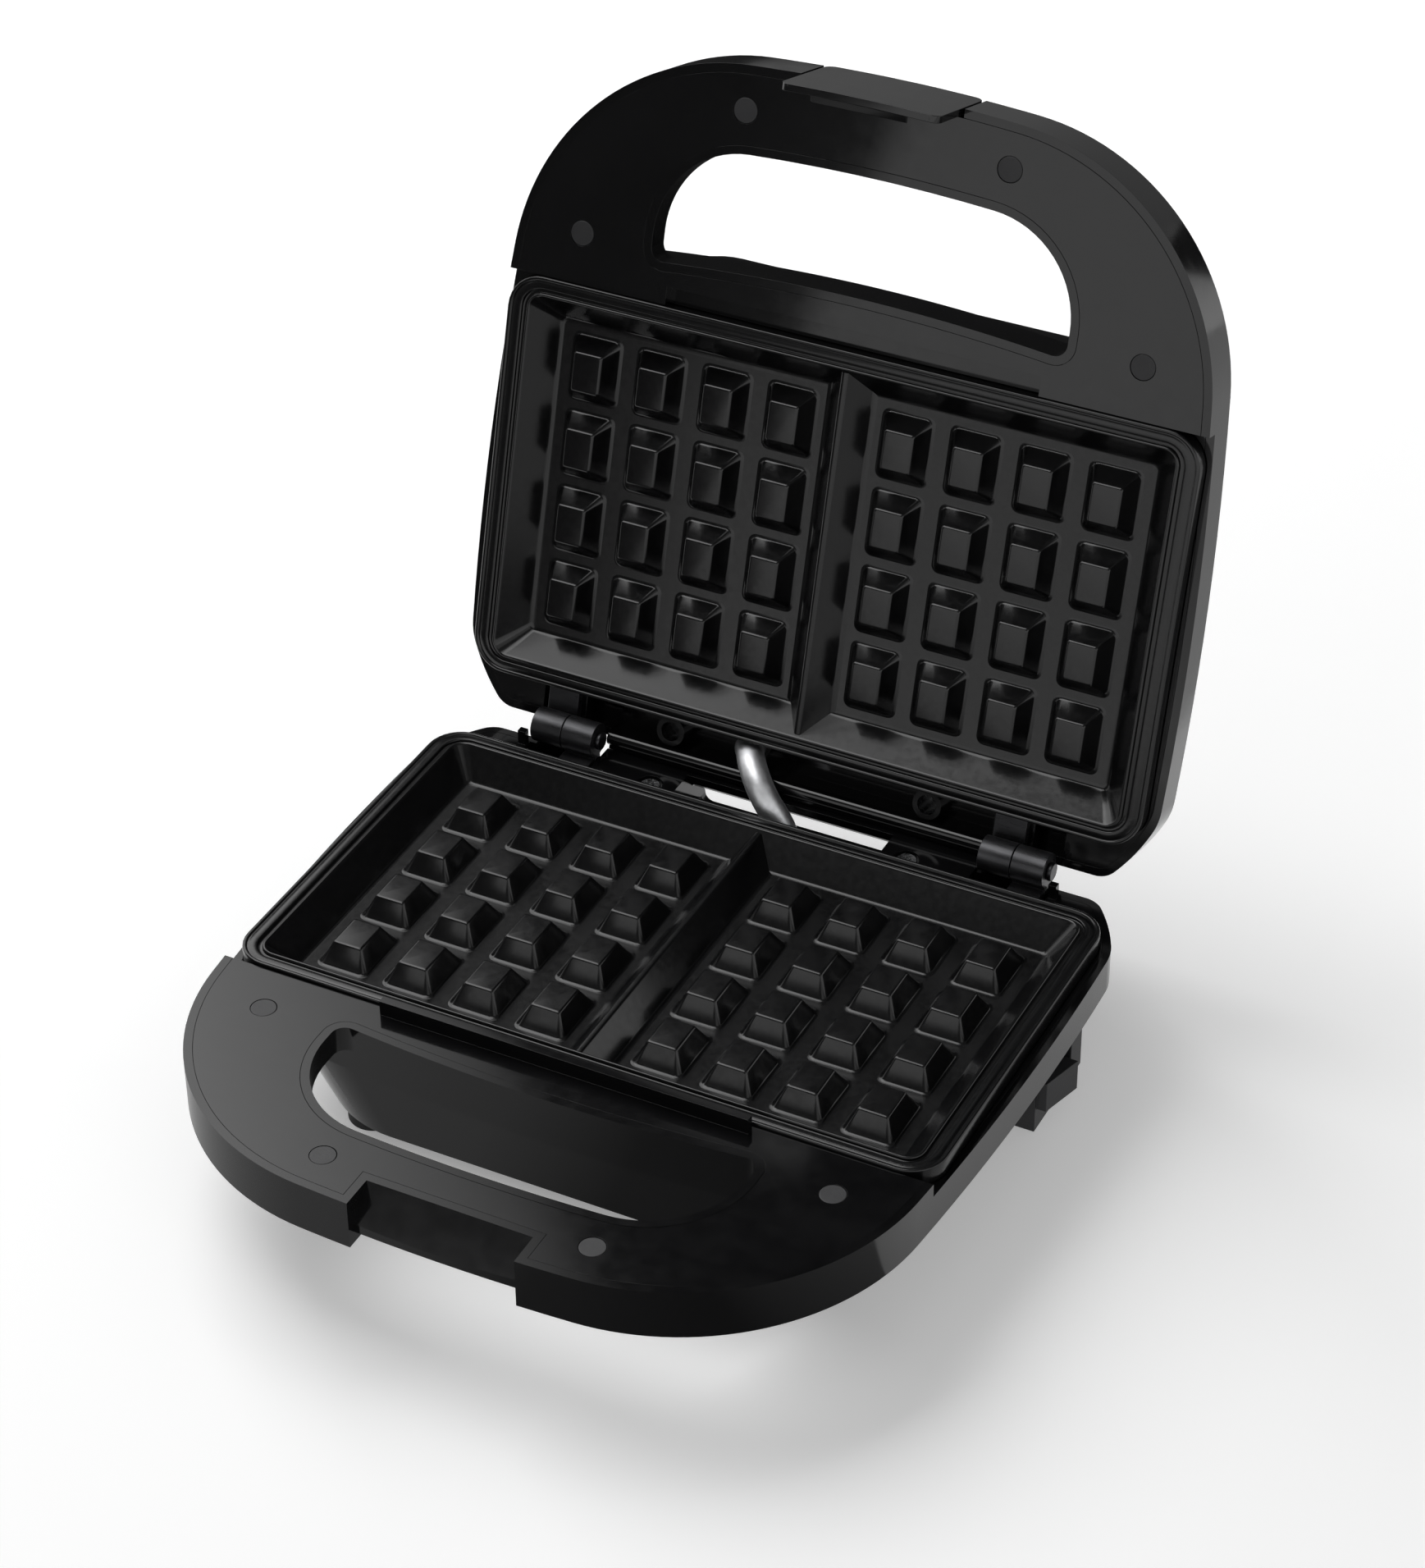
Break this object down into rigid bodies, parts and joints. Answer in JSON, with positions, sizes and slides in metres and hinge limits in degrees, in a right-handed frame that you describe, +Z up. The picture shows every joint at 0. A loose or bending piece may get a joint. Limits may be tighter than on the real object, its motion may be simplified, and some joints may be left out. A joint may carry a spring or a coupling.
{
  "type": "waffle maker",
  "caption": "Open two-slice waffle maker with twin pegged non-stick plates, a folding lid on rear hinges, looped front handles and a sprung front latch.",
  "frame": {"origin": "middle of the open object's bounding box, on the table under its feet", "axes": "+X to the right seen from the handle, +Y to the rear where the hinges are, +Z up"},
  "size_m": [0.2334, 0.3007, 0.2625],
  "materials": {
    "housing": "glossy black moulded plastic",
    "inner_frame": "glossy black moulded plastic",
    "plug": "fine matte dark grey plastic",
    "screw": "zinc plated steel",
    "plate": "die-cast aluminium with a satin black non-stick coat",
    "heater": "steel sheath, dull from heat",
    "tray": "bright rolled sheet",
    "ceramic": "off-white heat-proof moulding",
    "foot": "matte black rubber",
    "wrap_foot": "fine grained black plastic",
    "hinge": "satin black painted steel",
    "pin": "turned steel",
    "bush": "matte black rubber",
    "conduit": "close wound bright steel",
    "lens": "clear red moulding",
    "lever": "glossy black moulded plastic"
  },
  "bodies": {
    "base": {"base_shell": "housing", "base_frame": "inner_frame", "base_screw_plugs": "plug", "base_frame_screws": "screw", "lower_plate": "plate", "lower_plate_screws": "screw", "lower_heater": "heater", "lower_reflector": "tray", "lower_reflector_screws": "screw", "thermostat": "ceramic", "terminal_block": "ceramic", "front_feet": "foot", "rear_feet": "foot", "cord_wrap_feet": "wrap_foot", "base_hinge_knuckles": "hinge", "hinge_pins": "pin", "base_hinge_screws": "screw", "cord_gland": "bush", "base_lead_bush": "bush", "lead_conduit": "conduit"},
    "lid": {"lid_shell": "housing", "lid_frame": "inner_frame", "lid_screw_plugs": "plug", "lid_frame_screws": "screw", "upper_plate": "plate", "upper_plate_screws": "screw", "upper_heater": "heater", "upper_reflector": "tray", "upper_reflector_screws": "screw", "thermal_cutout": "ceramic", "lamp_holders": "ceramic", "lamp_lenses": "lens", "lid_hinge_knuckles": "hinge", "lid_hinge_screws": "screw", "lid_lead_bush": "bush", "latch_pin": "pin", "latch_spring": "pin"},
    "latch": {"latch_lever": "lever"}
  },
  "joints": [
    {"name": "lid_hinge", "type": "hinge", "parent": "base", "child": "lid", "pos_m": [0, 0.06805, 0.04805], "axis": [1, 0, 0], "range_deg": [0, 106.1], "deforming": ["lead_conduit"]},
    {"name": "latch_pivot", "type": "hinge", "parent": "lid", "child": "latch", "pos_m": [0, 0.13819, 0.2494], "axis": [-1, 0, 0], "range_deg": [0, 14], "stiffness_Nm_per_rad": 0.12, "springref_deg": -11.46, "deforming": ["latch_spring"]}
  ]
}
